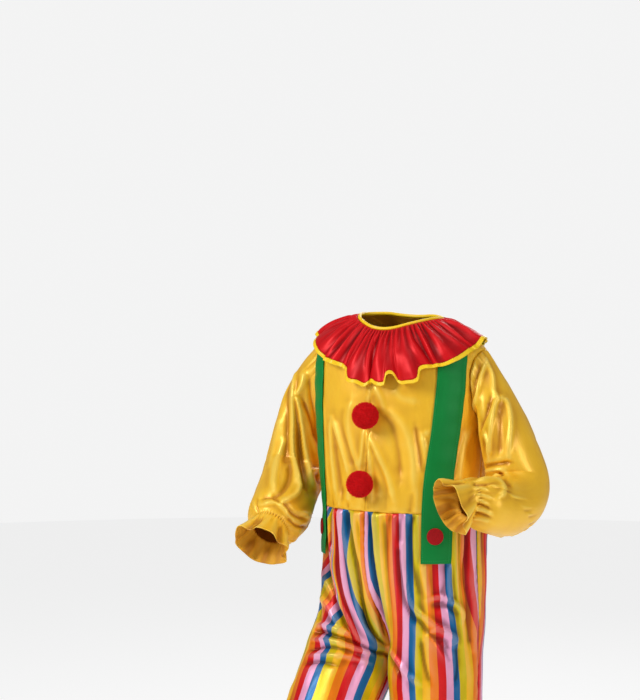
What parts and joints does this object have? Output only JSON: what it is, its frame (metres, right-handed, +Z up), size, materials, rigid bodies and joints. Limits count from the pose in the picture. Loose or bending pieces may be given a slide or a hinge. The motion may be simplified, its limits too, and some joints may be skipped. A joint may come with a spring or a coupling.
{
  "type": "clown costume",
  "caption": "Worn one-piece clown costume: long-sleeved satin bodice sewn to striped trousers gathered at the ankles, with a ruffled collar, braces and pompoms.",
  "frame": {"origin": "midway between the two points where the shoulder seams meet the neckline, where the wearer's shoulders hold the costume up", "axes": "+X towards the wearer's left, -Y to the front of the shoulders, +Z up"},
  "size_m": [0.7469, 0.4545, 1.4265],
  "materials": {
    "bodice_satin": "golden yellow satin with a soft sheen",
    "sleeve_satin": "golden yellow satin with a soft sheen",
    "striped_satin": "satin with upright stripes in red, pink, blue, olive, yellow and orange",
    "collar_satin": "red satin",
    "binding": "lemon yellow folded binding",
    "brace_satin": "green satin",
    "button_felt": "matt dark red felt",
    "pompom_yarn": "fuzzy red yarn"
  },
  "bodies": {
    "root": {"bodice_front_left": "bodice_satin", "bodice_front_right": "bodice_satin", "bodice_back_left": "bodice_satin", "bodice_back_right": "bodice_satin", "sleeve_left": "sleeve_satin", "sleeve_right": "sleeve_satin", "trouser_front_left": "striped_satin", "trouser_front_right": "striped_satin", "trouser_back_left": "striped_satin", "trouser_back_right": "striped_satin", "collar": "collar_satin", "collar_edging": "binding", "neck_binding": "binding", "brace_left": "brace_satin", "brace_right": "brace_satin", "brace_button_left": "button_felt", "brace_button_right": "button_felt", "pompom_upper": "pompom_yarn", "pompom_lower": "pompom_yarn"}
  },
  "joints": []
}
